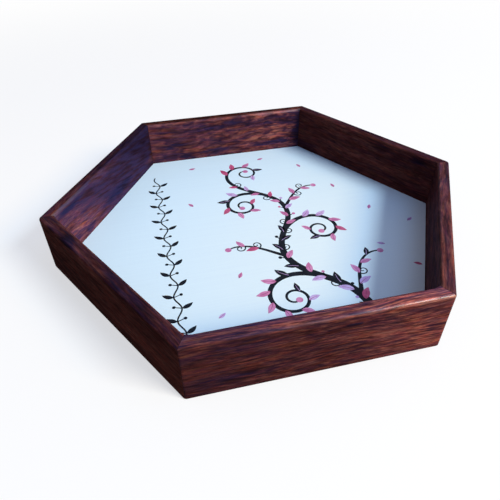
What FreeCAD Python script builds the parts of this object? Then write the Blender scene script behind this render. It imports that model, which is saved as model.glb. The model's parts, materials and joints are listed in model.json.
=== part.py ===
import FreeCAD, Part
import math
import os
import Sketcher
from FreeCAD import Placement, Rotation, Vector

# Hexagonal dice tray: six mitred hardwood rails on hidden loose tenons, a bottom board let into
# a rebate under them, and a printed lining on the board. Millimetres, +Z up. The origin is the
# centre of the footprint, on the surface that the tray stands on. The front rail faces -Y, and
# the left and right corners lie on the X axis.

SIDES = 6
TURN = 360.0 / SIDES  # from one rail to the next
HALF_TURN = TURN / 2  # from the middle of a rail to its mitre
MITRE_ANGLE = 90.0 - HALF_TURN  # from +X to the mitre at the right end of the front rail

# Each size that can be set by itself: its name, its value and what it is.
SIZES = [
    ("across_flats", 210.0, "outside, from the front rail to the back rail"),
    ("rail_height", 34.0, "height of the walls"),
    ("rail_thickness", 7.0, "thickness of the walls"),
    ("arris_radius", 1.5, "round on both top edges of the walls"),
    ("corner_softening", 0.5, "how much rounder an upright outer corner is than the top edges"),
    ("foot_radius", 0.5, "round on the bottom outer edge"),
    ("cutter_guide_radius", 6.0, "guide of the cutter that rounds the inner top edge"),
    ("rebate_lip", 3.0, "wood left outside the bottom board"),
    ("board_thickness", 3.0, "bottom board"),
    ("board_recess", 0.2, "how far the board stays above the underside of the rails"),
    ("board_edge_gap", 0.2, "between the board's edge and the rebate"),
    ("lining_thickness", 0.8, "printed lining"),
    ("lining_edge_gap", 0.3, "between the lining's edge and the walls"),
    ("tenon_thickness", 2.0, "loose tenon in each mitre, and the width of its mortise"),
    ("mortise_depth", 3.0, "into each rail, square to the mitre"),
    ("mortise_top_cover", 7.0, "wood left above a mortise"),
    ("mortise_foot_cover", 3.0, "wood left between a mortise and the rebate"),
    ("tenon_clearance", 0.05, "between a tenon and its mortise, all round"),
]

# Anticlockwise from the front, as seen from above: each rail, and the tenon at its far end.
RAILS = ["side_front", "side_right", "side_back_right", "side_back", "side_back_left", "side_front_left"]
CORNERS = ["front_right", "right", "back_right", "back_left", "left", "front_left"]

# Sizes that follow from those, as expressions.
OUTER_FLAT = "Sizes.across_flats / 2"
INNER_FLAT = f"({OUTER_FLAT} - Sizes.rail_thickness)"
WALL_MIDDLE = f"({OUTER_FLAT} - Sizes.rail_thickness / 2)"
CORNER_RADIUS = "(Sizes.arris_radius + Sizes.corner_softening)"
REBATE_FLAT = f"({OUTER_FLAT} - Sizes.rebate_lip)"
REBATE_HEIGHT = "(Sizes.board_recess + Sizes.board_thickness)"
BOARD_FLAT = f"({REBATE_FLAT} - Sizes.board_edge_gap)"
LINING_FLAT = f"({INNER_FLAT} - Sizes.lining_edge_gap)"
GUIDE_FLAT = f"({INNER_FLAT} - Sizes.cutter_guide_radius)"
TENON_RADIUS = "Sizes.tenon_thickness / 2"
TENON_LOWEST = f"({REBATE_HEIGHT} + Sizes.mortise_foot_cover + {TENON_RADIUS})"
TENON_HIGHEST = f"(Sizes.rail_height - Sizes.mortise_top_cover - {TENON_RADIUS})"
# A mortise leans towards the outer face as it gets deeper, so it starts nearer to the inner one.
TENON_CENTRE = f"(({WALL_MIDDLE} - Sizes.mortise_depth / 2 * sin({HALF_TURN})) / cos({HALF_TURN}))"

doc = FreeCAD.newDocument("DiceTray")
sheet = doc.addObject("Spreadsheet::Sheet", "Sizes")
for row, (alias, number, note) in enumerate(SIZES, start=1):
    sheet.set(f"A{row}", alias)
    sheet.set(f"B{row}", str(number))
    sheet.set(f"C{row}", note)
    sheet.setAlias(f"B{row}", alias)
doc.recompute()

# What a sketch calls the ends and the centre of a curve, its own two axes, and their origin.
START, END, CENTRE = range(1, 4)
UPRIGHT_AXIS, LEVEL_AXIS = range(-2, 0)
ORIGIN = (LEVEL_AXIS, START)


def value(expression):
    """The number that an expression gives."""
    return float(sheet.evalExpression(expression))


def polar(radius, angle):
    return radius * math.cos(math.radians(angle)), radius * math.sin(math.radians(angle))


def new_body(label):
    body = doc.addObject("PartDesign::Body", label)
    body.Label = label
    return body


def origin_plane(body, role):
    return next(plane for plane in body.Origin.OriginFeatures if plane.Role == role)


def flat_sketch(body, name):
    """A sketch seen from above, on the plane that the tray stands on."""
    sketch = body.newObject("Sketcher::SketchObject", name)
    sketch.AttachmentSupport = (origin_plane(body, "XY_Plane"), [""])
    sketch.MapMode = "FlatFace"
    return sketch


def upright_sketch(body, name, heading):
    """A sketch on an upright plane through the middle of the tray: x runs out along heading, y up."""
    sketch = body.newObject("Sketcher::SketchObject", name)
    sketch.AttachmentSupport = (origin_plane(body, "XZ_Plane"), [""])
    sketch.MapMode = "FlatFace"
    sketch.AttachmentOffset = Placement(Vector(), Rotation(Vector(0, 1, 0), heading))
    return sketch


def constrain(sketch, kind, *where):
    return sketch.addConstraint(Sketcher.Constraint(kind, *where))


def drive(sketch, name, expression, kind, *where):
    """A dimension of the sketch that follows an expression."""
    index = constrain(sketch, kind, *where, value(expression))
    sketch.renameConstraint(index, name)
    sketch.setExpression(f"Constraints.{name}", expression)


def line(sketch, start, end):
    return sketch.addGeometry(Part.LineSegment(Vector(*start, 0), Vector(*end, 0)), False)


def arc(sketch, centre, radius, from_angle, to_angle):
    circle = Part.Circle(Vector(*centre, 0), Vector(0, 0, 1), radius)
    piece = Part.ArcOfCircle(circle, math.radians(from_angle), math.radians(to_angle))
    return sketch.addGeometry(piece, False)


def draw_rail_outline(sketch):
    """The front rail from above: mitred ends that point at the middle of the tray, outer corners eased."""
    outer, radius = value(OUTER_FLAT), value(CORNER_RADIUS)
    inner_corner = value(f"{INNER_FLAT} / cos({HALF_TURN})")
    ease = value(f"({OUTER_FLAT} - {CORNER_RADIUS}) / cos({HALF_TURN})")
    right, left = -MITRE_ANGLE, MITRE_ANGLE - 180
    ease_right, ease_left = polar(ease, right), polar(ease, left)

    inside = line(sketch, polar(inner_corner, left), polar(inner_corner, right))
    right_mitre = line(sketch, polar(inner_corner, right), polar(ease + radius, right))
    right_round = arc(sketch, ease_right, radius, -90, right)
    outside = line(sketch, (ease_right[0], -outer), (ease_left[0], -outer))
    left_round = arc(sketch, ease_left, radius, left, -90)
    left_mitre = line(sketch, polar(ease + radius, left), polar(inner_corner, left))

    constrain(sketch, "Coincident", inside, END, right_mitre, START)
    constrain(sketch, "Coincident", right_mitre, END, right_round, END)
    constrain(sketch, "Tangent", right_round, START, outside, START)
    constrain(sketch, "Tangent", outside, END, left_round, END)
    constrain(sketch, "Coincident", left_round, START, left_mitre, START)
    constrain(sketch, "Coincident", left_mitre, END, inside, START)
    constrain(sketch, "Symmetric", inside, START, inside, END, UPRIGHT_AXIS)
    constrain(sketch, "Horizontal", outside)
    constrain(sketch, "PointOnObject", *ORIGIN, right_mitre)
    constrain(sketch, "PointOnObject", *ORIGIN, left_mitre)
    constrain(sketch, "PointOnObject", right_round, CENTRE, right_mitre)
    constrain(sketch, "PointOnObject", left_round, CENTRE, left_mitre)
    constrain(sketch, "Equal", right_round, left_round)
    constrain(sketch, "Angle", right_mitre, math.radians(right))
    drive(sketch, "inner_flat", INNER_FLAT, "DistanceY", inside, START, *ORIGIN)
    drive(sketch, "outer_flat", OUTER_FLAT, "DistanceY", outside, START, *ORIGIN)
    drive(sketch, "corner_radius", CORNER_RADIUS, "Radius", right_round)


def draw_rebate(sketch):
    """The bottom board's place under the front rail, from the middle of the tray to the shoulder."""
    length = f"{OUTER_FLAT} * tan({HALF_TURN}) * 2"
    shoulder, half = value(REBATE_FLAT), value(length) / 2
    near = line(sketch, (-half, -shoulder), (half, -shoulder))
    right = line(sketch, (half, -shoulder), (half, 0))
    far = line(sketch, (half, 0), (-half, 0))
    left = line(sketch, (-half, 0), (-half, -shoulder))
    for one, other in [(near, right), (right, far), (far, left), (left, near)]:
        constrain(sketch, "Coincident", one, END, other, START)
    constrain(sketch, "Vertical", right)
    constrain(sketch, "Vertical", left)
    constrain(sketch, "Horizontal", far)
    constrain(sketch, "PointOnObject", *ORIGIN, far)
    constrain(sketch, "Symmetric", near, START, near, END, UPRIGHT_AXIS)
    drive(sketch, "shoulder", REBATE_FLAT, "DistanceY", near, START, *ORIGIN)
    drive(sketch, "length", length, "DistanceX", near, START, near, END)


def draw_cutter(sketch, axis_distance):
    """What the rounding cutter takes away beside its upright axis, which stands out from the middle."""
    height, radius = value("Sizes.rail_height"), value("Sizes.arris_radius")
    guide, axis_at = value("Sizes.cutter_guide_radius"), value(axis_distance)
    shank, edge, rim = axis_at + guide / 2, axis_at + guide, axis_at + guide + radius
    floor, ceiling = height - radius, height + radius

    axis = line(sketch, (axis_at, floor), (axis_at, ceiling))
    sketch.setConstruction(axis, True)
    under = line(sketch, (shank, floor), (edge, floor))
    cut = arc(sketch, (rim, floor), radius, 90, 180)
    outside = line(sketch, (rim, height), (rim, ceiling))
    above = line(sketch, (rim, ceiling), (shank, ceiling))
    inside = line(sketch, (shank, ceiling), (shank, floor))

    constrain(sketch, "Coincident", under, END, cut, END)
    constrain(sketch, "Coincident", cut, START, outside, START)
    constrain(sketch, "Coincident", outside, END, above, START)
    constrain(sketch, "Coincident", above, END, inside, START)
    constrain(sketch, "Coincident", inside, END, under, START)
    for level in (under, above):
        constrain(sketch, "Horizontal", level)
    for upright in (axis, outside, inside):
        constrain(sketch, "Vertical", upright)
    constrain(sketch, "Horizontal", cut, CENTRE, cut, END)
    constrain(sketch, "Vertical", cut, CENTRE, cut, START)
    constrain(sketch, "Horizontal", axis, START, under, START)
    constrain(sketch, "Horizontal", axis, END, above, END)
    drive(sketch, "axis", axis_distance, "DistanceX", *ORIGIN, axis, START)
    drive(sketch, "guide", "Sizes.cutter_guide_radius", "DistanceX", axis, START, under, END)
    drive(sketch, "shank", "Sizes.cutter_guide_radius / 2", "DistanceX", axis, START, under, START)
    drive(sketch, "radius", "Sizes.arris_radius", "Radius", cut)
    drive(sketch, "rail_top", "Sizes.rail_height", "DistanceY", *ORIGIN, cut, START)
    drive(sketch, "above_rail", "Sizes.arris_radius", "DistanceY", outside, START, outside, END)


def draw_slot(sketch, round_end):
    """A round-ended upright slot in the mitre: a mortise, or the tenon with its smaller round end."""
    radius, middle = value(round_end), value(TENON_CENTRE)
    lowest, highest = value(TENON_LOWEST), value(TENON_HIGHEST)
    right = line(sketch, (middle + radius, lowest), (middle + radius, highest))
    upper = arc(sketch, (middle, highest), radius, 0, 180)
    left = line(sketch, (middle - radius, highest), (middle - radius, lowest))
    lower = arc(sketch, (middle, lowest), radius, 180, 360)
    constrain(sketch, "Tangent", right, END, upper, START)
    constrain(sketch, "Tangent", upper, END, left, START)
    constrain(sketch, "Tangent", left, END, lower, START)
    constrain(sketch, "Tangent", lower, END, right, START)
    constrain(sketch, "Equal", upper, lower)
    constrain(sketch, "Vertical", right)
    drive(sketch, "round_end", round_end, "Radius", upper)
    drive(sketch, "middle", TENON_CENTRE, "DistanceX", *ORIGIN, lower, CENTRE)
    drive(sketch, "lowest", TENON_LOWEST, "DistanceY", *ORIGIN, lower, CENTRE)
    drive(sketch, "highest", TENON_HIGHEST, "DistanceY", *ORIGIN, upper, CENTRE)


def draw_hexagon(sketch, flat):
    """A regular hexagon about the middle of the tray, with one side along the front rail."""
    radius = value(f"{flat} / cos({HALF_TURN})")
    corners = [polar(radius, turn * TURN - MITRE_ANGLE) for turn in range(SIDES)]
    ring = sketch.addGeometry(Part.Circle(Vector(), Vector(0, 0, 1), radius), True)
    sides = [line(sketch, corners[turn - 1], corners[turn]) for turn in range(SIDES)]
    constrain(sketch, "Coincident", ring, CENTRE, *ORIGIN)
    for turn in range(SIDES):
        constrain(sketch, "Coincident", sides[turn - 1], END, sides[turn], START)
        constrain(sketch, "PointOnObject", sides[turn], START, ring)
    for side in sides[1:]:
        constrain(sketch, "Equal", sides[0], side)
    constrain(sketch, "Horizontal", sides[0])
    drive(sketch, "flat", flat, "DistanceY", sides[0], START, *ORIGIN)


def pad(body, name, sketch, length, side_type="One side"):
    feature = body.newObject("PartDesign::Pad", name)
    feature.Profile = sketch
    feature.SideType = side_type
    feature.setExpression("Length", length)
    doc.recompute()
    return feature


def cut_away(body, kind, name, sketch, **settings):
    """A cut that has to take wood away: it stops the build where it misses the rail."""
    before = body.Shape.Volume
    feature = body.newObject(kind, name)
    feature.Profile = sketch
    for setting, wanted in settings.items():
        if setting == "Length":
            feature.setExpression(setting, wanted)
        else:
            setattr(feature, setting, wanted)
    doc.recompute()
    if body.Shape.Volume >= before:
        raise RuntimeError(f"{body.Label}: {name} takes nothing away")
    return feature


def round_outside(body, name, base, height, radius):
    """Round the edges that run along the outside of the front rail at one height."""
    wall_middle = value(WALL_MIDDLE)
    names = []
    for number, edge in enumerate(base.Shape.Edges, start=1):
        box = edge.BoundBox
        level = math.isclose(box.ZMin, height, abs_tol=1e-6) and math.isclose(box.ZMax, height, abs_tol=1e-6)
        if level and box.YMax < -wall_middle:
            names.append(f"Edge{number}")
    feature = body.newObject("PartDesign::Fillet", name)
    feature.Base = (base, names)
    feature.setExpression("Radius", radius)
    doc.recompute()
    return feature


def make_rail(label, turn):
    """A rail, worked in the place of the front one and then turned to its own."""
    body = new_body(label)
    outline = flat_sketch(body, f"{label}_outline")
    draw_rail_outline(outline)
    blank = pad(body, f"{label}_blank", outline, "Sizes.rail_height")
    height = value("Sizes.rail_height")
    eased = round_outside(body, f"{label}_outer_arris", blank, height, "Sizes.arris_radius")
    round_outside(body, f"{label}_foot", eased, 0.0, "Sizes.foot_radius")

    # The inner top edge, between the places where the cutter's guide meets the next walls.
    section = upright_sketch(body, f"{label}_arris_section", -90)
    draw_cutter(section, GUIDE_FLAT)
    run = f"{GUIDE_FLAT} * tan({HALF_TURN}) * 2"
    cut_away(body, "PartDesign::Pocket", f"{label}_inner_arris", section, SideType="Symmetric", Length=run)

    # The guide rests on both walls in the inner corner, so the rounded edge turns the corner in an arc.
    section = upright_sketch(body, f"{label}_corner_section", -MITRE_ANGLE)
    draw_cutter(section, f"{GUIDE_FLAT} / cos({HALF_TURN})")
    axis = (section, ["Axis0"])
    corner = cut_away(
        body, "PartDesign::Groove", f"{label}_inner_corner", section, ReferenceAxis=axis, Angle=360
    )

    plan = flat_sketch(body, f"{label}_rebate_plan")
    draw_rebate(plan)
    cut_away(body, "PartDesign::Pocket", f"{label}_rebate", plan, Reversed=True, Length=REBATE_HEIGHT)

    section = upright_sketch(body, f"{label}_mortise_section", -MITRE_ANGLE)
    draw_slot(section, TENON_RADIUS)
    depth = "Sizes.mortise_depth"
    mortise = cut_away(body, "PartDesign::Pocket", f"{label}_mortise", section, Reversed=True, Length=depth)

    before = body.Shape.Volume
    left_end = body.newObject("PartDesign::Mirrored", f"{label}_left_end")
    left_end.Originals = [corner, mortise]
    left_end.MirrorPlane = (origin_plane(body, "YZ_Plane"), [""])
    body.Tip = left_end
    doc.recompute()
    if body.Shape.Volume >= before:
        raise RuntimeError(f"{label}: the left end is not cut")
    body.Placement = Placement(Vector(), Rotation(Vector(0, 0, 1), turn * TURN))
    return body


def make_tenon(label, turn):
    """A loose tenon across a mitre, made on +X and then turned to its own corner."""
    body = new_body(label)
    section = upright_sketch(body, f"{label}_section", 0)
    draw_slot(section, f"({TENON_RADIUS} - Sizes.tenon_clearance)")
    length = "(Sizes.mortise_depth - Sizes.tenon_clearance) * 2"
    pad(body, f"{label}_length", section, length, side_type="Symmetric")
    body.Placement = Placement(Vector(), Rotation(Vector(0, 0, 1), turn * TURN - MITRE_ANGLE))
    return body


def make_sheet(label, flat, thickness, height):
    """A flat hexagonal sheet that lies at a height."""
    body = new_body(label)
    outline = flat_sketch(body, f"{label}_outline")
    draw_hexagon(outline, flat)
    pad(body, f"{label}_sheet", outline, thickness)
    body.setExpression("Placement.Base.z", height)
    return body


parts = [make_rail(label, turn) for turn, label in enumerate(RAILS)]
parts += [make_tenon(f"spline_{corner}_corner", turn) for turn, corner in enumerate(CORNERS)]
parts.append(make_sheet("base_panel", BOARD_FLAT, "Sizes.board_thickness", "Sizes.board_recess"))
parts.append(make_sheet("print_mat", LINING_FLAT, "Sizes.lining_thickness", REBATE_HEIGHT))
doc.recompute()

for item in doc.Objects:
    if "Invalid" in item.State or "Error" in item.State:
        raise RuntimeError(f"{item.Label} failed: {item.State}")
for part in parts:
    if part.Shape.isNull() or not part.Shape.isValid() or len(part.Shape.Solids) != 1:
        raise RuntimeError(f"{part.Label} is not one valid solid")

os.makedirs("parts", exist_ok=True)
for part in parts:
    part.Shape.exportStep(f"parts/{part.Label}.step")
    box = part.Shape.BoundBox
    print(f"{part.Label}: {part.Shape.Volume:.1f} mm3, z {box.ZMin:.2f} to {box.ZMax:.2f}")
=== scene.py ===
"""Looks of a hexagonal dice tray of dark hardwood with a printed lining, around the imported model.

Everything is in metres, in the model's frame: +X along the front rail, +Y to the back rail, +Z up.
The figure of the wood and the print are laid out in millimetres, and MM turns them into metres.
"""

import json
import math
import random
from typing import NamedTuple

import bmesh
import bpy
from mathutils import Matrix, Vector

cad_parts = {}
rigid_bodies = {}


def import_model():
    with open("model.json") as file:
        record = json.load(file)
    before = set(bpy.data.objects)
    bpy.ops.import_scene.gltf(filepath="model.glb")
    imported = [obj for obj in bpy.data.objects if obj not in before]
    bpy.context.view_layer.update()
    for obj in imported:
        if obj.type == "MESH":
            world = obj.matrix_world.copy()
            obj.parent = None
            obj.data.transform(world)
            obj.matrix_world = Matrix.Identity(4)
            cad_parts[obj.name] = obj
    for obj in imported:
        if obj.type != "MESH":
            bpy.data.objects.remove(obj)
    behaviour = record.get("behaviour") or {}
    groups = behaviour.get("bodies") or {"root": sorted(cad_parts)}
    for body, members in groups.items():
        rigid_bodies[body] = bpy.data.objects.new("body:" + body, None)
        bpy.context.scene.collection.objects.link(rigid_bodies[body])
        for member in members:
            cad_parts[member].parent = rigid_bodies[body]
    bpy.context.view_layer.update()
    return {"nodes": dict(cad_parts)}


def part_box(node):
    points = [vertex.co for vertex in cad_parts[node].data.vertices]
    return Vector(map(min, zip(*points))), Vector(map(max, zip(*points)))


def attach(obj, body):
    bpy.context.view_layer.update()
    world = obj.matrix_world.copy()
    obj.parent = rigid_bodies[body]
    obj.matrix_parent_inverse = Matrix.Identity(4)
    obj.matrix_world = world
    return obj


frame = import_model()

MM = 0.001
TO_MM = (1000, 1000, 1000)
SIXTH = math.radians(60)

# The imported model: the lining's surface in metres, and the front rail's two faces and rim in millimetres
top_of_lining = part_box("print_mat")[1].z
rail_low, rail_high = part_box("side_front")
outside = rail_low.y / MM
inside = rail_high.y / MM
rim = rail_high.z / MM

# The camera, as the vanishing lines of the rails give it
CAMERA_PLACE = (-0.05953, -0.22436, 0.17971)
CAMERA_HEADING = math.radians(-13.38)
CAMERA_TILT = math.radians(50.33)
CAMERA_ROLL = math.radians(-0.514)
CAMERA_LENS = 34.06

# The window to the right of the camera, and the dim light of the room from above and from below
WINDOW_AZIMUTH = math.radians(-42)
WINDOW_DISTANCE = 3.0
ROOM_COLOUR = (0.24, 0.245, 0.33, 1)
UNDER_COLOUR = (0.6, 0.6, 0.6, 1)
WHITE = (1, 1, 1, 1)

# The floor, just under the tray. It reaches a little way in under the rails and is open under the board.
FLOOR_SIZE = 6.0
FLOOR_DROP = 0.1 * MM
FLOOR_LAP = 0.8 * MM

# Where it is seen, a share of it takes shadow and fades out between two distances from the tray. The
# rest is plain white. To the light that bounces off it, the floor is dim.
FLOOR_SHADED = 0.4
FLOOR_FADE = (0.25, 0.8)
FLOOR_SEEN = 0.95
FLOOR_UNSEEN = 0.2


class Pane(NamedTuple):
    """One rectangle of window light.

    low and high are its edges in degrees above the floor and reach half its breadth in degrees, all
    seen from the tray. level is the colour that it gives to a level white sheet.
    """

    low: float
    high: float
    reach: float
    level: tuple


PANES = {
    "window_low": Pane(low=26, high=37.5, reach=10.5, level=(0.27, 0.185, 0.07)),
    "window_high": Pane(low=37.5, high=47.5, reach=10.5, level=(0.31, 0.38, 0.43)),
    "window_sky": Pane(low=52, high=80, reach=25, level=(0.03, 0.065, 0.125)),
}


class Face(NamedTuple):
    """Look of one face of a rail: its wood, the light, shade and sheen painted on it, and its oil.

    light is how light the wood is drawn, partly its own tone and partly painted light and shade,
    lighter where the window lights the face and darker where it doesn't. The second value is how much
    painted bluish sheen, a reflection of the pale lining and sky, lies on it, and contrast how strong
    its figure is, each at the left end, the middle and the right end as seen from outside. oil is how
    much satin oil lies on it.
    """

    light: tuple = (1.2, 1.2, 1.2)
    bloom: tuple = (0.18, 0.18, 0.18)
    contrast: tuple = (0.8, 0.8, 0.8)
    oil: float = 0.12


class Streak(NamedTuple):
    """A long streak in a rail, darker or lighter than the wood round it. Most are figure in the wood;
    a few along the rims and at a corner are painted highlight or painted shade.

    place is how far along the rail it lies, how deep, from 0 on the outer face to 1 on the inner one,
    and how high. reach is half its length and half its height. shift is how far it moves the figure
    from dark to light, and the last value what it adds to the painted bluish sheen.
    """

    place: tuple
    reach: tuple
    shift: float
    bloom: float = 0.0


class Rail(NamedTuple):
    """Where a rail was cut from the timber, what its figure is like, and its three faces.

    slope is how far the grain climbs along the rail in degrees, patch the size of its flames along and
    across the grain and wave how wavy they are. bands, flames and dashes weigh the three scales of
    figure. lean is how far a change along the inner face leans with height. shine is the oil on the outer
    and on the inner arris.
    """

    turn: int
    cut: tuple
    slope: float
    patch: tuple
    wave: float
    bands: float
    flames: float
    dashes: float
    outer: Face = Face()
    top: Face = Face()
    inner: Face = Face()
    lean: float = 0.0
    shine: tuple = ((0.5, 0.5, 0.5), (0.5, 0.5, 0.5))
    streaks: tuple = ()


# Besides the wood's own tone, each face's light paints the window's light and shade into the wood: faces and
# ends that the window lights are drawn lighter, and those it misses are drawn darker.
RAILS = {
    "side_front": Rail(
        turn=0, cut=(350, 290, 580), slope=0, patch=(13, 1.1), wave=0.1, bands=0.6, flames=0.9, dashes=1.3,
        outer=Face((0.70, 0.82, 1.85), (0.18, 0.17, 0.25), (0.60, 0.80, 0.85), 0.03),
        top=Face((0.66, 1.2, 2.5), (0.42, 0.45, 0.55), (1.1, 1.1, 0.9), 0.1),
        inner=Face((0.9, 1.1, 1.6), (0.45, 0.45, 0.5), (0.8, 0.8, 0.75), 0.1),
        shine=((0.1, 0.3, 1.0), (0.1, 0.1, 0.1)),
        streaks=(
            Streak((-36, 0, 27), (26, 3.5), -0.10, 0.10),
            Streak((-44, 0, 9), (26, 4), -0.10, 0.10),
            Streak((14, 0, 28), (7, 2), -0.40, 0.20),
            Streak((56, 0, 15), (8, 4), -0.15, 0.15),
            Streak((-30, 0, 18), (24, 3), 0.08),
            Streak((30, 0, 17), (24, 5), 0.08),
            # Painted highlight along the outer top arris
            Streak((42, 0, 34), (34, 1.8), 0.15),
        )),
    "side_right": Rail(
        turn=1, cut=(310, 40, 90), slope=1, patch=(12, 1.6), wave=0.2, bands=0.8, flames=0.6, dashes=1.2,
        top=Face((1.15, 1.12, 1.05), (0.25, 0.3, 0.35), (0.75, 0.75, 0.75), 0.1),
        inner=Face((0.6, 0.6, 0.6), (0.2, 0.2, 0.1), (0.7, 0.7, 0.7), 0.1),
        shine=((0.05, 0.05, 0.05), (0.12, 0.12, 0.12)),
        streaks=(
            Streak((38, 0, 34), (32, 5), -0.20),
            Streak((-28, 0, 34), (22, 5), 0.16),
        )),
    "side_back_right": Rail(
        turn=2, cut=(720, 80, 10), slope=2, patch=(14, 1.6), wave=0.2, bands=0.7, flames=0.5, dashes=0.9,
        top=Face((0.55, 0.55, 0.55), (0.2, 0.2, 0.2), (0.8, 0.8, 0.8), 0.015),
        inner=Face((0.8, 0.76, 0.70), (0.08, 0.08, 0.08), (0.7, 0.65, 0.6), 0.015),
        shine=((0.05, 0.05, 0.05), (0.05, 0.05, 0.05)),
        streaks=(
            Streak((-18, 1, 29), (12, 3), -0.2, 0.05),
            Streak((-44, 1, 30), (9, 3), -0.25, 0.1),
            Streak((48, 1, 8), (18, 5), -0.15, 0.08),
            Streak((15, 1, 18), (26, 4), 0.08),
        )),
    "side_back": Rail(
        turn=3, cut=(150, 120, 60), slope=-1, patch=(8, 2.8), wave=0.7, bands=0.7, flames=1.5, dashes=0.9,
        top=Face((0.60, 0.50, 0.42), (0.05, 0.05, 0.05), (0.8, 0.8, 0.8), 0.015),
        inner=Face((1.3, 1.08, 1.0), (0.38, 0.38, 0.38), (0.95, 0.7, 0.55), 0.05),
        shine=((0.02, 0.02, 0.02), (0.9, 0.2, 0.25)),
        streaks=(
            # Painted highlights along the inner top arris, the second with painted sheen too
            Streak((0, 1, 33.6), (80, 2.2), 0.14),
            Streak((-36, 1, 33.6), (30, 2.2), 0.24, 0.3),
            Streak((8, 1, 27.5), (54, 3.6), -0.26, 0.12),
            Streak((-40, 1, 27), (24, 3.8), -0.28, 0.08),
            Streak((40, 1, 16), (11, 2.8), -0.3, 0.2),
            Streak((4, 1, 9.5), (16, 3), -0.3, 0.2),
            Streak((38, 1, 8), (22, 3), -0.25, 0.1),
            Streak((-36, 1, 9.5), (18, 2.6), -0.4, 0.3),
            Streak((-21, 1, 15.5), (8, 3), 0.35),
            Streak((-36, 1, 16), (16, 3.4), 0.34),
            Streak((16, 1, 20), (14, 3.2), 0.1),
            Streak((22, 1, 12), (16, 2.2), 0.1),
            Streak((-12, 1, 22), (8, 2.4), 0.06),
            # Painted shade at the end by the back right rail
            Streak((-63, 1, 18), (17, 30), -0.5),
        )),
    "side_back_left": Rail(
        turn=4, cut=(20, 250, 290), slope=12, patch=(18, 2.0), wave=0.2, bands=0.9, flames=0.6, dashes=1.0,
        top=Face((0.16, 0.23, 0.85), (0.3, 0.22, 0.25), (0.8, 0.8, 0.8), 0.015),
        inner=Face((0.18, 0.38, 1.22), (0.45, 0.84, 0.82), (0.16, 0.3, 0.95), 0.04),
        lean=1.7, shine=((0.02, 0.02, 0.02), (0.06, 0.05, 1.0)),
        streaks=(
            Streak((44, 1, 30), (14, 2.2), -0.35, 0.25),
            Streak((30, 1, 7.5), (8, 3.2), -0.2, 0.15),
            Streak((28, 1, 14), (22, 8), 0.14),
            Streak((40, 1, 23), (14, 5), 0.12),
            Streak((4, 1, 31.5), (28, 4), 0.15),
            Streak((-8, 1, 12), (22, 4.5), -0.2, 0.15),
            Streak((-54, 1, 9), (12, 3.2), 0.25),
            Streak((-60, 1, 16), (10, 18), 0.12, -0.35),
        )),
    "side_front_left": Rail(
        turn=5, cut=(900, 60, 30), slope=0, patch=(14, 1.8), wave=0.2, bands=0.8, flames=0.6, dashes=1.0,
        outer=Face((0.88, 1.0, 1.05), (0.02, 0.02, 0.02), (0.55, 0.55, 0.55), 0.012),
        top=Face((0.57, 0.55, 0.60), (0.2, 0.21, 0.2), (0.8, 0.8, 0.8), 0.05),
        shine=((0.015, 0.015, 0.015), (0.1, 0.1, 0.1)),
        streaks=(
            Streak((-33, 0.4, 34), (8, 3), -0.3, 0.07),
            Streak((25, 0.3, 34), (30, 3), -0.15, 0.04),
            Streak((-22, 0, 31), (26, 5), 0.10, 0.05),
            Streak((12, 0, 9), (22, 5), 0.08),
            # Painted shade along the outer top arris
            Streak((-36, 0, 34), (20, 2.4), -0.18),
            Streak((30, 0, 12), (30, 7), 0.08),
        )),
}

# Wood colours, from the dark bands to the light flames, and where each sits in the figure
WOOD_STEPS = (
    (0.20, (0.014, 0.0034, 0.0030, 1)),
    (0.42, (0.048, 0.0122, 0.0094, 1)),
    (0.60, (0.110, 0.0305, 0.0215, 1)),
    (0.85, (0.235, 0.0720, 0.0460, 1)),
)
WOOD_PORE = (0.012, 0.005, 0.006, 1)
# Colour of the painted bluish sheen: a reflection of the pale lining and sky painted into the wood
PAINTED_SHEEN_COLOUR = (0.009, 0.014, 0.06, 1)
HUE_RED = (1.08, 0.86, 0.80, 1)
HUE_AMBER = (0.94, 1.14, 1.10, 1)
PORE_DEPTH = 0.7
WOOD_RELIEF = 0.03 * MM
OIL_ROUGHNESS = 0.33
OIL_IOR = 1.5

# Sizes of the wood's features in millimetres, along the grain first
BAND_SIZE = (55, 5, 6)
DASH_SIZE = (8, 0.9, 0.9)
FIBRE_SIZE = (7, 0.4, 0.4)
PORE_SIZE = (4, 0.3, 0.3)
HUE_SIZE = (7, 1.3, 1.3)
# Patches of the painted sheen
SHEEN_PATCH_SIZE = (16, 2.2, 2.2)

# How the grain drifts and how ragged a streak is: the size of the noise and how far it carries a point
DRIFT_SIZE = (60, 30, 30)
DRIFT_REACH = (0, 9, 9)
RAGGED_SIZE = (12, 2.5, 2.5)
RAGGED_REACH = (14, 0, 4)

# Other places in the timber, so that the hue and the patches of painted sheen don't follow the fibres
HUE_CUT = (70, 30, 20)
SHEEN_PATCH_CUT = (20, 80, 50)

# How far a streak reaches across the rail's thickness, and how far from the rail's middle its ends are
STREAK_DEPTH = 4.5
RAIL_HALF = 58

# Where the extra oil of an arris starts and where it is full, and the same for the dark glue line,
# each as the distance from the edge in millimetres
ARRIS_FAR = 1.8
ARRIS_NEAR = 0.8
GLUE_LINE = (0.22, 0.02)
GLUE_DARKNESS = 0.8

# Wood that the rails and the lining hide: the size of its grain, its light colour and its dark one
TENON_WOOD = ((0.6, 8, 8), (0.62, 0.46, 0.30, 1), (0.48, 0.33, 0.20, 1))
BOARD_WOOD = ((45, 1.2, 1.2), (0.52, 0.38, 0.25, 1), (0.36, 0.24, 0.15, 1))

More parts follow.
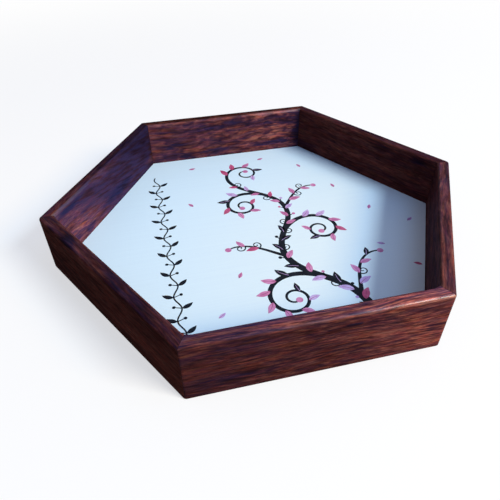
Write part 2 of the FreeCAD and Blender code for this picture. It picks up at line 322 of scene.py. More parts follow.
# The lining: its light blue colour, with a pool of window light painted on it that is warmer and whiter at
# its centre and fades to the plain colour far from there, and its fine brushed lines
LINING_IN_PAINTED_LIGHT = (0.74, 0.86, 0.91, 1)
LINING_FAR = (0.67, 0.855, 0.985, 1)
PAINTED_LIGHT_CENTRE = (45, -40, 4)
PAINTED_LIGHT_FADE = (20, 150)
LINE_COLOUR = (0.52, 0.66, 0.86, 1)
LINE_STRENGTH = 0.12
LINE_RELIEF = 0.008 * MM
BRUSH_SIZE = (50, 0.7, 5)
WEAVE_SIZE = (0.9, 40, 5)


class Ink(NamedTuple):
    """One colour of the print: its material, its two shades, its gloss, and its height above the lining."""

    material: str
    light: tuple
    dark: tuple
    high: float
    gloss: float = 0.3


INKS = {
    "print_stems": Ink("ink_dark", (0.010, 0.013, 0.021, 1), (0.006, 0.008, 0.014, 1), 0.030, gloss=0.05),
    "print_leaves_rose": Ink("ink_rose", (0.55, 0.10, 0.23, 1), (0.40, 0.05, 0.15, 1), 0.040),
    "print_leaves_pink": Ink("ink_pink", (0.60, 0.24, 0.45, 1), (0.48, 0.14, 0.32, 1), 0.050),
    "print_leaves_lilac": Ink("ink_lilac", (0.56, 0.42, 0.72, 1), (0.46, 0.29, 0.60, 1), 0.060),
    "print_ribs": Ink("ink_rib", (0.30, 0.04, 0.13, 1), (0.22, 0.03, 0.10, 1), 0.070),
}
LEAF_INKS = (
    "print_leaves_rose", "print_leaves_pink", "print_leaves_pink", "print_leaves_lilac", "print_stems",
)

# How deep the ink goes into the lining, and how much each of INK_LEVELS shapes in turn is higher
INK_LOW = -0.01
INK_STEP = 0.003
INK_LEVELS = 3
INK_RELIEF = 0.005 * MM
WASH_SIZE = (5, 5, 50)
INK_GRAIN = (0.5, 0.5, 5)


class Stem(NamedTuple):
    """A stem of the print, which winds to and fro or into a scroll and tapers to its tip.

    It starts at root, or on its parent at the share of the parent's length that at says. heading is
    where it sets out to, in degrees from +X or from its parent's own direction there, and bends are
    the degrees that it turns to the left per millimetre, from its root to its tip. leaves are the
    sides that its leaves take in turn, 1 for left and -1 for right. bare is the length without
    leaves before the tip, and tip the radius of the berry there.
    """

    heading: float
    reach: float
    bends: tuple
    widths: tuple
    leaves: tuple = (1, -1)
    bare: float = 4
    tip: float = 1.9
    root: tuple = (0, 0)
    parent: str = ""
    at: float = 0.0


# The vine, in millimetres from the middle of the tray. Its stems are worked out WALK_STEP by WALK_STEP,
# and a scroll has no leaves on its innermost BARE_SCROLL.
WALK_STEP = 0.5
STEM_TAPER = 0.7
BARE_SCROLL = 12
STEMS = {
    "main": Stem(
        root=(38, -96.6), heading=80, reach=180, widths=(5.8, 2.6), tip=0,
        bends=(0.3, 1.3, 1.9, -1.2, -2.6, -0.8, 2.0, 2.6, -0.6, -3.2)),
    "first_scroll": Stem(
        parent="main", at=0.305, heading=14, reach=96, widths=(4.0, 1.2), leaves=(-1,), bare=BARE_SCROLL,
        bends=(1.0, 3.2, 4.2, 6.0, 9.0, 18.0)),
    "second_scroll": Stem(
        parent="main", at=0.59, heading=-14, reach=88, widths=(3.8, 1.2), leaves=(1,), bare=BARE_SCROLL,
        bends=(-1.0, -3.4, -4.6, -6.5, -9.5, -18.0)),
    "third_scroll": Stem(
        parent="main", at=0.84, heading=14, reach=76, widths=(3.4, 1.2), leaves=(-1,), bare=BARE_SCROLL,
        bends=(1.0, 3.8, 5.2, 7.0, 10.0, 18.0)),
    "last_scroll": Stem(
        parent="main", at=1.0, heading=0, reach=62, widths=(2.6, 1.1), leaves=(1,), bare=BARE_SCROLL,
        bends=(-3.2, -4.4, -5.6, -8.0, -11.0, -18.0)),
    "first_shoot": Stem(
        parent="main", at=0.16, heading=-42, reach=44, widths=(2.9, 1.0), bends=(1.0, -0.6, -2.6, -6.0)),
    "second_shoot": Stem(
        parent="main", at=0.44, heading=44, reach=36, widths=(2.6, 1.0), bends=(-1.0, 0.6, 2.6, 6.0)),
    "third_shoot": Stem(
        parent="main", at=0.72, heading=-44, reach=36, widths=(2.4, 1.0), bends=(1.0, -0.6, -2.6, -6.0)),
}

# Its leaves, longest at a stem's root, and what may face a leaf: a tendril, or a berry on a stalk.
# LEAF_SHAPE is a leaf's breadth by its length, and the halves are half widths at the root and the tip.
LEAF_PITCH = 8.5
LEAF_LENGTHS = (9.5, 6.0)
LEAF_SHAPE = 0.45
LEAF_SPREAD = (34, 56)
LEAF_BEND = 0.5
LEAF_ROOM = 0.8
LEAF_POINT = 0.04
RIB_WIDTH = 0.34
TENDRIL_CHANCE = 0.4
TENDRIL_REACH = 3.2
TENDRIL_TURNS = 1.3
TENDRIL_EYE = 0.4
TENDRIL_HALVES = (0.42, 0.26)
BERRY_CHANCE = 0.3
BERRY_STALK = 4.6
BERRY_HALVES = (0.45, 0.22)
BERRY_RADII = (0.9, 1.3)

# Loose leaves: where each lies, and which way it points in degrees
LOOSE_LENGTH = 4.8
LOOSE_BEND = 0.25
LOOSE_LEAVES = (
    (68, -32, 155), (74, 4, 60), (48, 66, 110), (-38, -66, 35), (-32, 82, 10), (80, -54, 145),
    (-8, -80, 80), (-36, 34, 125), (92, -14, 30), (-22, -40, 60), (20, 84, 20), (62, 34, 100),
)

# The border: a slim vine that sways about a straight line, with a leaf and a berry at each bend
BORDER_X = -56.5
BORDER_ENDS = (-76, 76)
BORDER_PITCH = 8.5
BORDER_SECTIONS = 8
BORDER_SWAY = 1.6
BORDER_HALF = 0.42
BORDER_LEAF = (6.6, 2.7)
BORDER_LEAF_SPREAD = (46, 64)
BORDER_LEAF_BEND = 0.6
BORDER_STALK = (4.0, 1.4)
BORDER_STALK_HALVES = (0.32, 0.24)
BORDER_BERRY = 0.95


class Graph:
    """The node tree of a new material or world, with a short call for each kind of node in use."""

    def __init__(self, owner):
        owner.use_nodes = True
        self.owner = owner
        self.tree = owner.node_tree
        self.tree.nodes.clear()

    def node(self, kind, **settings):
        made = self.tree.nodes.new(kind)
        for key, value in settings.items():
            setattr(made, key, value)
        return made

    def feed(self, socket, value):
        """Links the socket where value is another node's output, and sets it where it is plain."""
        if isinstance(value, bpy.types.NodeSocket):
            self.tree.links.new(value, socket)
        else:
            socket.default_value = value

    def place(self):
        """Position on the object in metres."""
        return self.node("ShaderNodeTexCoord").outputs["Object"]

    def mapped(self, vector, scale=(1, 1, 1), turn=(0, 0, 0)):
        made = self.node("ShaderNodeMapping")
        made.inputs["Scale"].default_value = scale
        made.inputs["Rotation"].default_value = turn
        self.feed(made.inputs["Vector"], vector)
        return made.outputs["Vector"]

    def noise(self, vector, size, detail=2.0, roughness=0.5, distortion=0.0):
        """Noise whose features measure about size along each axis. Gives its value and its colour."""
        made = self.node("ShaderNodeTexNoise")
        scale = tuple(1 / length for length in size)
        self.feed(made.inputs["Vector"], self.mapped(vector, scale=scale))
        made.inputs["Scale"].default_value = 1.0
        made.inputs["Detail"].default_value = detail
        made.inputs["Roughness"].default_value = roughness
        made.inputs["Distortion"].default_value = distortion
        return made.outputs["Fac"], made.outputs["Color"]

    def maths(self, operation, a, b=0.0):
        made = self.node("ShaderNodeMath", operation=operation)
        self.feed(made.inputs[0], a)
        self.feed(made.inputs[1], b)
        return made.outputs[0]

    def vector_maths(self, operation, a, b):
        made = self.node("ShaderNodeVectorMath", operation=operation)
        self.feed(made.inputs[0], a)
        self.feed(made.inputs[1], b)
        return made.outputs[0]

    def step(self, value, low, high, at_low=0.0, at_high=1.0):
        """Smooth change from at_low to at_high while value goes from low to high."""
        made = self.node("ShaderNodeMapRange", interpolation_type="SMOOTHSTEP")
        self.feed(made.inputs["Value"], value)
        made.inputs["From Min"].default_value = low
        made.inputs["From Max"].default_value = high
        made.inputs["To Min"].default_value = at_low
        made.inputs["To Max"].default_value = at_high
        return made.outputs["Result"]

    def blend(self, factor, a, b, kind="MIX"):
        """Colour a where factor is 0 and colour b where it is 1."""
        made = self.node("ShaderNodeMix", data_type="RGBA", blend_type=kind)
        self.feed(made.inputs[0], factor)
        self.feed(made.inputs[6], a)
        self.feed(made.inputs[7], b)
        return made.outputs[2]

    def between(self, factor, low, high):
        """The number low where factor is 0 and high where it is 1."""
        made = self.node("ShaderNodeMix", data_type="FLOAT")
        self.feed(made.inputs[0], factor)
        self.feed(made.inputs[2], low)
        self.feed(made.inputs[3], high)
        return made.outputs[0]

    def ramp(self, value, stops):
        """Colour from a list of (place, colour)."""
        made = self.node("ShaderNodeValToRGB")
        self.feed(made.inputs[0], value)
        elements = made.color_ramp.elements
        while len(elements) < len(stops):
            elements.new(0.5)
        for element, (place, colour) in zip(elements, stops):
            element.position = place
            element.color = colour
        return made.outputs["Color"]

    def grey(self, value):
        made = self.node("ShaderNodeCombineColor")
        for socket in made.inputs:
            self.feed(socket, value)
        return made.outputs[0]

    def axes(self, vector):
        made = self.node("ShaderNodeSeparateXYZ")
        self.feed(made.inputs[0], vector)
        return made.outputs["X"], made.outputs["Y"], made.outputs["Z"]

    def bump(self, height, distance):
        made = self.node("ShaderNodeBump")
        made.inputs["Distance"].default_value = distance
        self.feed(made.inputs["Height"], height)
        return made.outputs["Normal"]

    def surface(self, colour, roughness, normal, coat=None, **constants):
        """Ends the tree in one Principled shader and returns the material."""
        shader = self.node("ShaderNodeBsdfPrincipled")
        self.feed(shader.inputs["Base Color"], colour)
        self.feed(shader.inputs["Roughness"], roughness)
        self.feed(shader.inputs["Normal"], normal)
        if coat is not None:
            self.feed(shader.inputs["Coat Weight"], coat)
            self.feed(shader.inputs["Coat Normal"], normal)
        for key, value in constants.items():
            shader.inputs[key.replace("_", " ")].default_value = value
        self.feed(self.node("ShaderNodeOutputMaterial").inputs["Surface"], shader.outputs[0])
        return self.owner


# Wood

def figure(g, timber, rail):
    """How light the wood's figure is, from dark bands to light flames, around 0.5."""
    along, across = rail.patch
    bands, _ = g.noise(timber, size=BAND_SIZE, detail=2.0)
    flames, _ = g.noise(timber, size=(along, across, across), detail=2.0, distortion=rail.wave)
    dashes, _ = g.noise(timber, size=DASH_SIZE, detail=3.0, roughness=0.65)
    total = 0.5 - 0.5 * (rail.bands + rail.flames + rail.dashes)
    for part, weight in ((bands, rail.bands), (flames, rail.flames), (dashes, rail.dashes)):
        total = g.maths("ADD", total, g.maths("MULTIPLY", part, weight))
    return total, dashes


def streaked(g, ragged, streaks, value, bloom):
    """The figure and the painted sheen with the rail's own streaks in them."""
    for streak in streaks:
        along, depth, high = streak.place
        middle = (along, outside + depth * (inside - outside), high)
        reach = (streak.reach[0], STREAK_DEPTH, streak.reach[1])
        place = g.vector_maths("SUBTRACT", ragged, middle)
        place = g.vector_maths("DIVIDE", place, reach)
        near = g.node("ShaderNodeVectorMath", operation="LENGTH")
        g.feed(near.inputs[0], place)
        weight = g.step(near.outputs["Value"], 1.0, 0.3)
        value = g.maths("ADD", value, g.maths("MULTIPLY", weight, streak.shift))
        bloom = g.maths("ADD", bloom, g.maths("MULTIPLY", weight, streak.bloom))
    return value, bloom


def by_face(g, local, outer, top, inner):
    """The value of the face that a point lies on: outer, top or inner."""
    _, deep, _ = g.axes(local)
    value = g.between(g.step(deep, outside + 0.5, outside + 0.1), top, outer)
    return g.between(g.step(deep, inside - 1.5, inside - 0.7), value, inner)


def along_rail(g, local, values, lean=0.0):
    """The three values at the left end, the middle and the right end of the rail, smoothly joined."""
    left, middle, right = values
    along, _, high = g.axes(local)
    along = g.maths("SUBTRACT", along, g.maths("MULTIPLY", g.maths("SUBTRACT", high, rim / 2), lean))
    value = g.between(g.step(along, -RAIL_HALF, 0), left, middle)
    return g.between(g.step(along, 0, RAIL_HALF), value, right)


def on_faces(g, local, rail, quality):
    """What the rail's faces have of light, painted sheen or contrast, where light also paints light and
    shade. A change leans on the inner face alone.
    """
    outer, top, inner = (getattr(face, quality) for face in (rail.outer, rail.top, rail.inner))
    return by_face(g, local, along_rail(g, local, outer), along_rail(g, local, top),
                   along_rail(g, local, inner, rail.lean))


def on_arris(g, local, outer, inner, elsewhere):
    """The oil on the two rounded top edges, and elsewhere what the faces have."""
    _, deep, high = g.axes(local)
    near_rim = g.step(high, rim - ARRIS_FAR, rim - ARRIS_NEAR)
    near_outside = g.step(deep, outside + ARRIS_FAR, outside + ARRIS_NEAR)
    near_inside = g.step(deep, inside - ARRIS_FAR, inside - ARRIS_NEAR)
    value = g.between(g.maths("MULTIPLY", near_rim, near_outside), elsewhere, outer)
    return g.between(g.maths("MULTIPLY", near_rim, near_inside), value, inner)


def oiled(g, local, rail):
    """How much oil lies on the rail's faces and on its two arrises."""
    faces = by_face(g, local, rail.outer.oil, rail.top.oil, rail.inner.oil)
    return on_arris(g, local, *(along_rail(g, local, weights) for weights in rail.shine), faces)


def joint_line(g, local):
    """1 on the thin glue line where the rail meets the next one."""
    along, deep, _ = g.axes(local)
    reach = g.maths("MULTIPLY", g.maths("ABSOLUTE", deep), math.tan(SIXTH / 2))
    return g.step(g.maths("SUBTRACT", reach, g.maths("ABSOLUTE", along)), *GLUE_LINE)


def carried(g, place, timber, size, reach):
    """A place that noise in the timber carries to and fro, by up to half of reach each way."""
    _, drift = g.noise(timber, size=size, detail=1.0)
    drift = g.vector_maths("SUBTRACT", drift, (0.5, 0.5, 0.5))
    return g.vector_maths("ADD", place, g.vector_maths("MULTIPLY", drift, reach))


def tinted(g, timber, colour):
    """The wood's colour, here redder and there more amber."""
    hue, _ = g.noise(g.vector_maths("ADD", timber, HUE_CUT), size=HUE_SIZE, detail=2.0)
    return g.blend(1.0, colour, g.blend(g.step(hue, 0.3, 0.7), HUE_RED, HUE_AMBER), kind="MULTIPLY")


def bloomed(g, timber, colour, bloom):
    """The wood's colour with a painted bluish sheen added, a reflection of the pale lining and sky, which
    lies in soft clouds.
    """
    sheen_patches, _ = g.noise(g.vector_maths("ADD", timber, SHEEN_PATCH_CUT), size=SHEEN_PATCH_SIZE, detail=2.0)
    bloom = g.maths("MULTIPLY", bloom, g.step(sheen_patches, 0.3, 0.7, 0.4, 1.6))
    return g.blend(bloom, colour, PAINTED_SHEEN_COLOUR, kind="ADD")


def rail_wood(name, rail):
    """Oiled dark hardwood with its grain along the rail, laid out in the front rail's millimetres."""
    g = Graph(bpy.data.materials.new("wood_" + name))
    local = g.mapped(g.place(), scale=TO_MM, turn=(0, 0, -rail.turn * SIXTH))
    timber = g.vector_maths("ADD", local, rail.cut)
    timber = g.mapped(timber, turn=(0, math.radians(rail.slope), 0))
    timber = carried(g, timber, timber, DRIFT_SIZE, DRIFT_REACH)
    light, bloom, contrast = (on_faces(g, local, rail, quality) for quality in ("light", "bloom", "contrast"))

    value, dashes = figure(g, timber, rail)
    value = g.maths("ADD", g.maths("MULTIPLY", g.maths("SUBTRACT", value, 0.5), contrast), 0.5)
    ragged = carried(g, local, timber, RAGGED_SIZE, RAGGED_REACH)
    value, bloom = streaked(g, ragged, rail.streaks, value, bloom)
    fibres, _ = g.noise(timber, size=FIBRE_SIZE, detail=2.0, roughness=0.6)
    pores, _ = g.noise(timber, size=PORE_SIZE, detail=1.0)
    open_pore = g.step(pores, 0.38, 0.28)

    colour = tinted(g, timber, g.ramp(value, WOOD_STEPS))
    colour = g.blend(g.maths("MULTIPLY", open_pore, PORE_DEPTH), colour, WOOD_PORE)
    # The wood's tone times light, which also paints the window's light and shade on each face
    light = g.maths("MULTIPLY", light, g.step(fibres, 0.25, 0.75, 0.75, 1.25))
    colour = g.blend(1.0, colour, g.grey(light), kind="MULTIPLY")
    # Painted bluish sheen on top of the wood
    colour = bloomed(g, timber, colour, bloom)
    colour = g.blend(g.maths("MULTIPLY", joint_line(g, local), GLUE_DARKNESS), colour, WOOD_PORE)

    relief = g.maths("SUBTRACT", g.maths("ADD", fibres, dashes), open_pore)
    normal = g.bump(relief, distance=WOOD_RELIEF)
    oil = g.maths("MULTIPLY", oiled(g, local, rail), g.step(dashes, 0.3, 0.7, 0.8, 1.1))
    return g.surface(colour, g.step(dashes, 0.3, 0.7, 0.7, 0.6), normal, coat=oil, Specular_IOR_Level=0.0,
                     Coat_Roughness=OIL_ROUGHNESS, Coat_IOR=OIL_IOR)


def bare_wood(name, size, light, dark):
    """Plain sanded wood, for the pieces that the rails and the lining hide."""
    g = Graph(bpy.data.materials.new(name))
    place = g.mapped(g.place(), scale=TO_MM)
    grain, _ = g.noise(place, size=size, detail=4.0, roughness=0.6)
    colour = g.blend(g.step(grain, 0.3, 0.7), dark, light)
    normal = g.bump(grain, distance=WOOD_RELIEF)
    return g.surface(colour, g.step(grain, 0.3, 0.7, 0.7, 0.55), normal, Specular_IOR_Level=0.3)


# Lining

def lining_sheet():
    """Pale light blue sheet, faintly brushed, with a painted pool of window light that makes it nearly white
    at the front right.
    """
    g = Graph(bpy.data.materials.new("lining_sheet"))
    place = g.mapped(g.place(), scale=TO_MM)
    brushed, _ = g.noise(place, size=BRUSH_SIZE, detail=2.0)
    woven, _ = g.noise(place, size=WEAVE_SIZE, detail=1.0)
    # Painted pool of window light, fading with the distance from its centre
    far = g.node("ShaderNodeVectorMath", operation="DISTANCE")
    g.feed(far.inputs[0], place)
    g.feed(far.inputs[1], PAINTED_LIGHT_CENTRE)
    colour = g.blend(g.step(far.outputs["Value"], *PAINTED_LIGHT_FADE), LINING_IN_PAINTED_LIGHT, LINING_FAR)
    lines = g.maths("MULTIPLY", g.step(brushed, 0.3, 0.7), g.step(woven, 0.2, 0.8, 0.5, 1.0))
    colour = g.blend(g.maths("MULTIPLY", lines, LINE_STRENGTH), colour, LINE_COLOUR)
    normal = g.bump(lines, distance=LINE_RELIEF)
    return g.surface(colour, g.step(brushed, 0.3, 0.7, 0.5, 0.42), normal, Specular_IOR_Level=0.3)


def printed(ink):
    """Printed colour that varies softly from one motif to the next."""
    g = Graph(bpy.data.materials.new(ink.material))
    place = g.mapped(g.place(), scale=TO_MM)
    wash, _ = g.noise(place, size=WASH_SIZE, detail=2.0, roughness=0.6)
    grain, _ = g.noise(place, size=INK_GRAIN, detail=1.0)
    colour = g.blend(g.step(wash, 0.38, 0.62), ink.dark, ink.light)
    normal = g.bump(grain, distance=INK_RELIEF)
    return g.surface(colour, g.step(grain, 0.3, 0.7, 0.48, 0.42), normal, Specular_IOR_Level=ink.gloss)


class Print:
    """One colour of the print: flat closed shapes that stand a little proud of the lining.

    Shapes drawn one after the other differ a little in height, so that none lies in another's plane.
    """

    def __init__(self, name, ink):
        self.name = name
        self.material = printed(ink)
        self.low = top_of_lining + INK_LOW * MM
        self.high = top_of_lining + ink.high * MM
        self.shapes = 0
        self.bm = bmesh.new()

    def next_height(self):
        self.shapes += 1
        return self.high + self.shapes % INK_LEVELS * INK_STEP * MM

    def corner(self, place, z):
        return self.bm.verts.new((place.x * MM, place.y * MM, z))

    def strip(self, spine):
        """A strip along a list of (place, direction, half width)."""
        high = self.next_height()
        rings = []
        for place, towards, half in spine:
            side = Vector((-towards.y, towards.x)) * half
            rings.append((self.corner(place + side, self.low), self.corner(place - side, self.low),
                          self.corner(place - side, high), self.corner(place + side, high)))
        for ring, after in zip(rings, rings[1:]):
            for k in range(4):
                self.bm.faces.new((ring[k], ring[k - 3], after[k - 3], after[k]))
        self.bm.faces.new(reversed(rings[0]))
        self.bm.faces.new(rings[-1])

    def dot(self, place, radius, sides=14):
        high = self.next_height()
        around = [radius * unit(k * math.tau / sides) for k in range(sides)]
        base = [self.corner(place + step, self.low) for step in around]
        face = [self.corner(place + step, high) for step in around]
        self.bm.faces.new(reversed(base))
        self.bm.faces.new(face)
        for k in range(sides):
            self.bm.faces.new((base[k - 1], base[k], face[k], face[k - 1]))

    def finish(self):
        bmesh.ops.recalc_face_normals(self.bm, faces=self.bm.faces)
        mesh = bpy.data.meshes.new(self.name)
        self.bm.to_mesh(mesh)
        self.bm.free()
        mesh.materials.append(self.material)
        piece = bpy.data.objects.new(self.name, mesh)
        bpy.context.scene.collection.objects.link(piece)
        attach(piece, "root")


def unit(angle):
    return Vector((math.cos(angle), math.sin(angle)))


def leaf_spine(root, angle, length, half_width, bend, sections=12):
    """The middle line of a pointed leaf that curves by bend times its length, with its half widths."""
    spine = []
    for k in range(sections + 1):
        t = k / sections
        place = root + unit(angle) * length * t
        place += unit(angle + math.pi / 2) * length * bend * t * (t - 1) / 2
        half = half_width * math.sin(math.pi * t ** 0.85) ** 0.9 if 0 < k < sections else 0
        spine.append((place, unit(angle + bend * (t - 0.5)), max(half, LEAF_POINT)))
    return spine


def draw_leaf(colour, ribs, root, angle, length, bend):
    """A leaf in one colour with its rib in another."""
    spine = leaf_spine(root, angle, length, 0.5 * length * LEAF_SHAPE, bend)
    colour.strip(spine)
    inner = spine[:-3]
    ribs.strip([(place, towards, 0.5 * RIB_WIDTH * (1 - 0.6 * k / len(inner)))
                for k, (place, towards, _) in enumerate(inner)])


def walk(name):
    """A stem's places and headings, WALK_STEP apart."""
    stem = STEMS[name]
    place, heading = Vector(stem.root), math.radians(stem.heading)
    if stem.parent:
        carrier = walk(stem.parent)
        place, lead = carrier[round(stem.at * (len(carrier) - 1))]
        heading += lead
    path = [(place, heading)]
    steps = int(stem.reach / WALK_STEP)
    for k in range(steps):
        part = k / steps * (len(stem.bends) - 1)
        index = int(part)
        bend = stem.bends[index] + (stem.bends[index + 1] - stem.bends[index]) * (part - index)
        heading += math.radians(bend) * WALK_STEP
        place = place + unit(heading) * WALK_STEP
        path.append((place, heading))
    return path


def draw_stem(dark, path, widths):
    """A stem that tapers along its path."""
    last = len(path) - 1
    at_root, at_tip = widths
    spine = []
    for k in range(0, last + 1, 2):
        place, heading = path[k]
        spine.append((place, unit(heading), 0.5 * (at_root + (at_tip - at_root) * (k / last) ** STEM_TAPER)))
    dark.strip(spine)


def draw_tendril(dark, root, angle, side, sections=28):
    """A curled tendril: a short stalk that winds into a spiral to one side."""
    centre = root + unit(angle) * TENDRIL_REACH
    at_root, at_tip = TENDRIL_HALVES
    spine = []
    for k in range(sections + 1):
        t = k / sections
        turn = angle + math.pi + side * math.tau * TENDRIL_TURNS * t
        radius = TENDRIL_REACH * (1 - t) ** 1.2 + TENDRIL_EYE * t
        half = at_root + (at_tip - at_root) * t
        spine.append((centre + unit(turn) * radius, unit(turn + side * math.pi / 2), half))
    dark.strip(spine)


def draw_berry(dark, colour, root, angle, chance):
    """A berry at the end of a straight stalk."""
    towards = unit(angle)
    end = root + BERRY_STALK * towards
    dark.strip([(root, towards, BERRY_HALVES[0]), (end, towards, BERRY_HALVES[1])])
    colour.dot(end, chance.uniform(*BERRY_RADII))


def draw_leaves(prints, path, stem, taken, chance):
    """The leaves of a stem, some of them facing a tendril or a berry, and a berry at its tip.

    taken holds the middles of all leaves so far, and a leaf that would lie on another is left out.
    """
    dark = prints["print_stems"]
    last = len(path) - 1
    pitch = LEAF_PITCH / WALK_STEP
    count = int((last - stem.bare / WALK_STEP) / pitch)
    for k in range(1, count + 1):
        place, heading = path[round(k * pitch)]
        length = LEAF_LENGTHS[0] + (LEAF_LENGTHS[1] - LEAF_LENGTHS[0]) * k * pitch / last
        side = stem.leaves[k % len(stem.leaves)]
        spread = math.radians(chance.uniform(*LEAF_SPREAD)) * side
        colour = prints[chance.choice(LEAF_INKS)]
        facing = chance.random()
        middle = place + unit(heading + spread) * length / 2
        if any((middle - other).length < LEAF_ROOM * length for other in taken):
            continue
        taken.append(middle)
        rib = prints["print_leaves_lilac" if colour is dark else "print_ribs"]
        draw_leaf(colour, rib, place, heading + spread, length, LEAF_BEND * side)
        if len(stem.leaves) == 2 and facing > 1 - TENDRIL_CHANCE:
            draw_tendril(dark, place, heading - spread, side)
        elif len(stem.leaves) == 2 and facing < BERRY_CHANCE:
            draw_berry(dark, prints[chance.choice(LEAF_INKS)], place, heading - spread, chance)
    if stem.tip:
        prints["print_leaves_pink"].dot(path[-1][0], stem.tip)


def draw_border(dark, chance):
    """A slim upright border: a swaying vine with a leaf at each bend and a berry facing it."""
    low, high = BORDER_ENDS
    steps = int((high - low) / BORDER_PITCH * BORDER_SECTIONS)
    vine = []
    for k in range(steps + 1):
        y = low + (high - low) * k / steps
        phase = math.pi * (y - low) / BORDER_PITCH
        sway = BORDER_SWAY * math.sin(phase)
        slope = BORDER_SWAY * math.pi / BORDER_PITCH * math.cos(phase)
        vine.append((Vector((BORDER_X + sway, y)), Vector((slope, 1)).normalized(), BORDER_HALF))
    dark.strip(vine)
    length, width = BORDER_LEAF
    across, along = BORDER_STALK
    for k in range(int((high - low) / BORDER_PITCH)):
        side = 1 if k % 2 == 0 else -1
        bend = Vector((BORDER_X + side * BORDER_SWAY, low + (k + 0.5) * BORDER_PITCH))
        heading = math.radians(90 - side * chance.uniform(*BORDER_LEAF_SPREAD))
        dark.strip(leaf_spine(bend, heading, length, 0.5 * width, BORDER_LEAF_BEND * side))
        berry = bend + Vector((-side * across, along))
        away = (berry - bend).normalized()
        dark.strip([(bend, away, BORDER_STALK_HALVES[0]), (berry, away, BORDER_STALK_HALVES[1])])
        dark.dot(berry, BORDER_BERRY)


def make_print():
    """A vine that scrolls up from the front edge, loose leaves round it, and a border on the left."""
    chance = random.Random(7)
    prints = {name: Print(name, ink) for name, ink in INKS.items()}
    taken = []
    for name, stem in STEMS.items():
        path = walk(name)
        draw_stem(prints["print_stems"], path, stem.widths)
        draw_leaves(prints, path, stem, taken, chance)
    for x, y, angle in LOOSE_LEAVES:
        colour = prints[chance.choice(LEAF_INKS[:-1])]
        draw_leaf(colour, prints["print_ribs"], Vector((x, y)), math.radians(angle), LOOSE_LENGTH, LOOSE_BEND)
    draw_border(prints["print_stems"], chance)
    for colour in prints.values():
        colour.finish()


def dress_nodes():
    """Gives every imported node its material."""
    tenons = bare_wood("bare_hardwood", *TENON_WOOD)
    looks = {"base_panel": bare_wood("thin_plywood", *BOARD_WOOD), "print_mat": lining_sheet()}
    for name, rail in RAILS.items():
        looks[name] = rail_wood(name, rail)
    for name, node in frame["nodes"].items():
        node.data.materials.clear()
        node.data.materials.append(looks.get(name, tenons))


# Surroundings

def seen(g):
    """1 for camera, glossy and transmission rays, which show the background."""
    path = g.node("ShaderNodeLightPath")
    either = g.maths("MAXIMUM", path.outputs["Is Camera Ray"], path.outputs["Is Glossy Ray"])
    return g.maths("MAXIMUM", either, path.outputs["Is Transmission Ray"])


def mixed(g, factor, a, b):
    """Shader a where factor is 0 and shader b where it is 1."""
    made = g.node("ShaderNodeMixShader")
    for socket, value in zip(made.inputs, (factor, a, b)):
        g.feed(socket, value)
    return made.outputs[0]


def diffuse(g, level):
    made = g.node("ShaderNodeBsdfDiffuse")
    made.inputs["Color"].default_value = (level, level, level, 1)
    return made.outputs[0]


def floor_material():
    """White where it is seen, with the tray's soft shadow, and dim where it only bounces light.

    Its underside is clear, so that views from below look through it.
    """
    g = Graph(bpy.data.materials.new("floor"))
    away = g.node("ShaderNodeVectorMath", operation="LENGTH")
    g.feed(away.inputs[0], g.place())
    shaded = g.step(away.outputs["Value"], *FLOOR_FADE, FLOOR_SHADED, 0.0)
    white = g.node("ShaderNodeEmission").outputs[0]
    above = mixed(g, seen(g), diffuse(g, FLOOR_UNSEEN), mixed(g, shaded, white, diffuse(g, FLOOR_SEEN)))
    clear = g.node("ShaderNodeBsdfTransparent").outputs[0]
    below = g.node("ShaderNodeNewGeometry").outputs["Backfacing"]
    g.feed(g.node("ShaderNodeOutputMaterial").inputs["Surface"], mixed(g, below, above, clear))
    return g.owner


def make_floor():
    """A wide floor, open under the tray so that its base is lit in views from below."""
    opening = (abs(rail_low.y) - FLOOR_LAP) / math.cos(SIXTH / 2)
    bm = bmesh.new()
    inner, outer = ([bm.verts.new((*(radius * unit(k * SIXTH)), -FLOOR_DROP)) for k in range(6)]
                    for radius in (opening, FLOOR_SIZE))
    for k in range(6):
        bm.faces.new((inner[k - 1], outer[k - 1], outer[k], inner[k]))
    mesh = bpy.data.meshes.new("floor")
    bm.to_mesh(mesh)
    bm.free()
    mesh.materials.append(floor_material())
    floor = bpy.data.objects.new("floor", mesh)
    bpy.context.scene.collection.objects.link(floor)


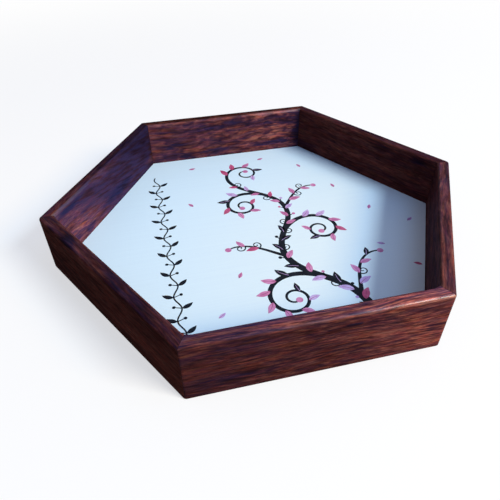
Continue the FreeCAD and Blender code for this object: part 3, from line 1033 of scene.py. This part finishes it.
def make_world():
    """White where it is seen, and a dim room for the light on the tray."""
    g = Graph(bpy.data.worlds.new("room"))
    bpy.context.scene.world = g.owner
    _, _, up = g.axes(g.node("ShaderNodeTexCoord").outputs["Generated"])
    room = g.blend(g.maths("LESS_THAN", up, 0.0), ROOM_COLOUR, UNDER_COLOUR)
    background = g.node("ShaderNodeBackground")
    g.feed(background.inputs["Color"], g.blend(seen(g), room, WHITE))
    g.feed(g.node("ShaderNodeOutputWorld").inputs["Surface"], background.outputs[0])


def make_window():
    """The window's panes, each a rectangular lamp that faces the tray."""
    for name, pane in PANES.items():
        elevation = math.radians((pane.low + pane.high) / 2)
        lamp = bpy.data.lights.new(name, "AREA")
        lamp.shape = "RECTANGLE"
        lamp.size = 2 * WINDOW_DISTANCE * math.tan(math.radians(pane.reach))
        lamp.size_y = 2 * WINDOW_DISTANCE * math.tan(math.radians(pane.high - pane.low) / 2)
        brightest = max(pane.level)
        lamp.color = [part / brightest for part in pane.level]
        lamp.energy = brightest * 4 * math.pi * WINDOW_DISTANCE ** 2 / math.sin(elevation)
        towards = Vector((math.cos(WINDOW_AZIMUTH) * math.cos(elevation),
                          math.sin(WINDOW_AZIMUTH) * math.cos(elevation), math.sin(elevation)))
        window = bpy.data.objects.new(name, lamp)
        window.location = towards * WINDOW_DISTANCE
        window.rotation_euler = towards.to_track_quat("Z", "Y").to_euler()
        bpy.context.scene.collection.objects.link(window)


def make_camera():
    camera = bpy.data.objects.new("camera", bpy.data.cameras.new("camera"))
    camera.data.lens = CAMERA_LENS
    camera.data.clip_start = 0.01
    turn = Matrix.Rotation(CAMERA_HEADING, 4, "Z")
    turn = turn @ Matrix.Rotation(CAMERA_TILT, 4, "X")
    turn = turn @ Matrix.Rotation(CAMERA_ROLL, 4, "Z")
    camera.matrix_world = Matrix.Translation(CAMERA_PLACE) @ turn
    bpy.context.scene.collection.objects.link(camera)
    bpy.context.scene.camera = camera


make_camera()
make_world()
make_window()
make_floor()
dress_nodes()
make_print()
bpy.context.scene.view_settings.view_transform = "Standard"
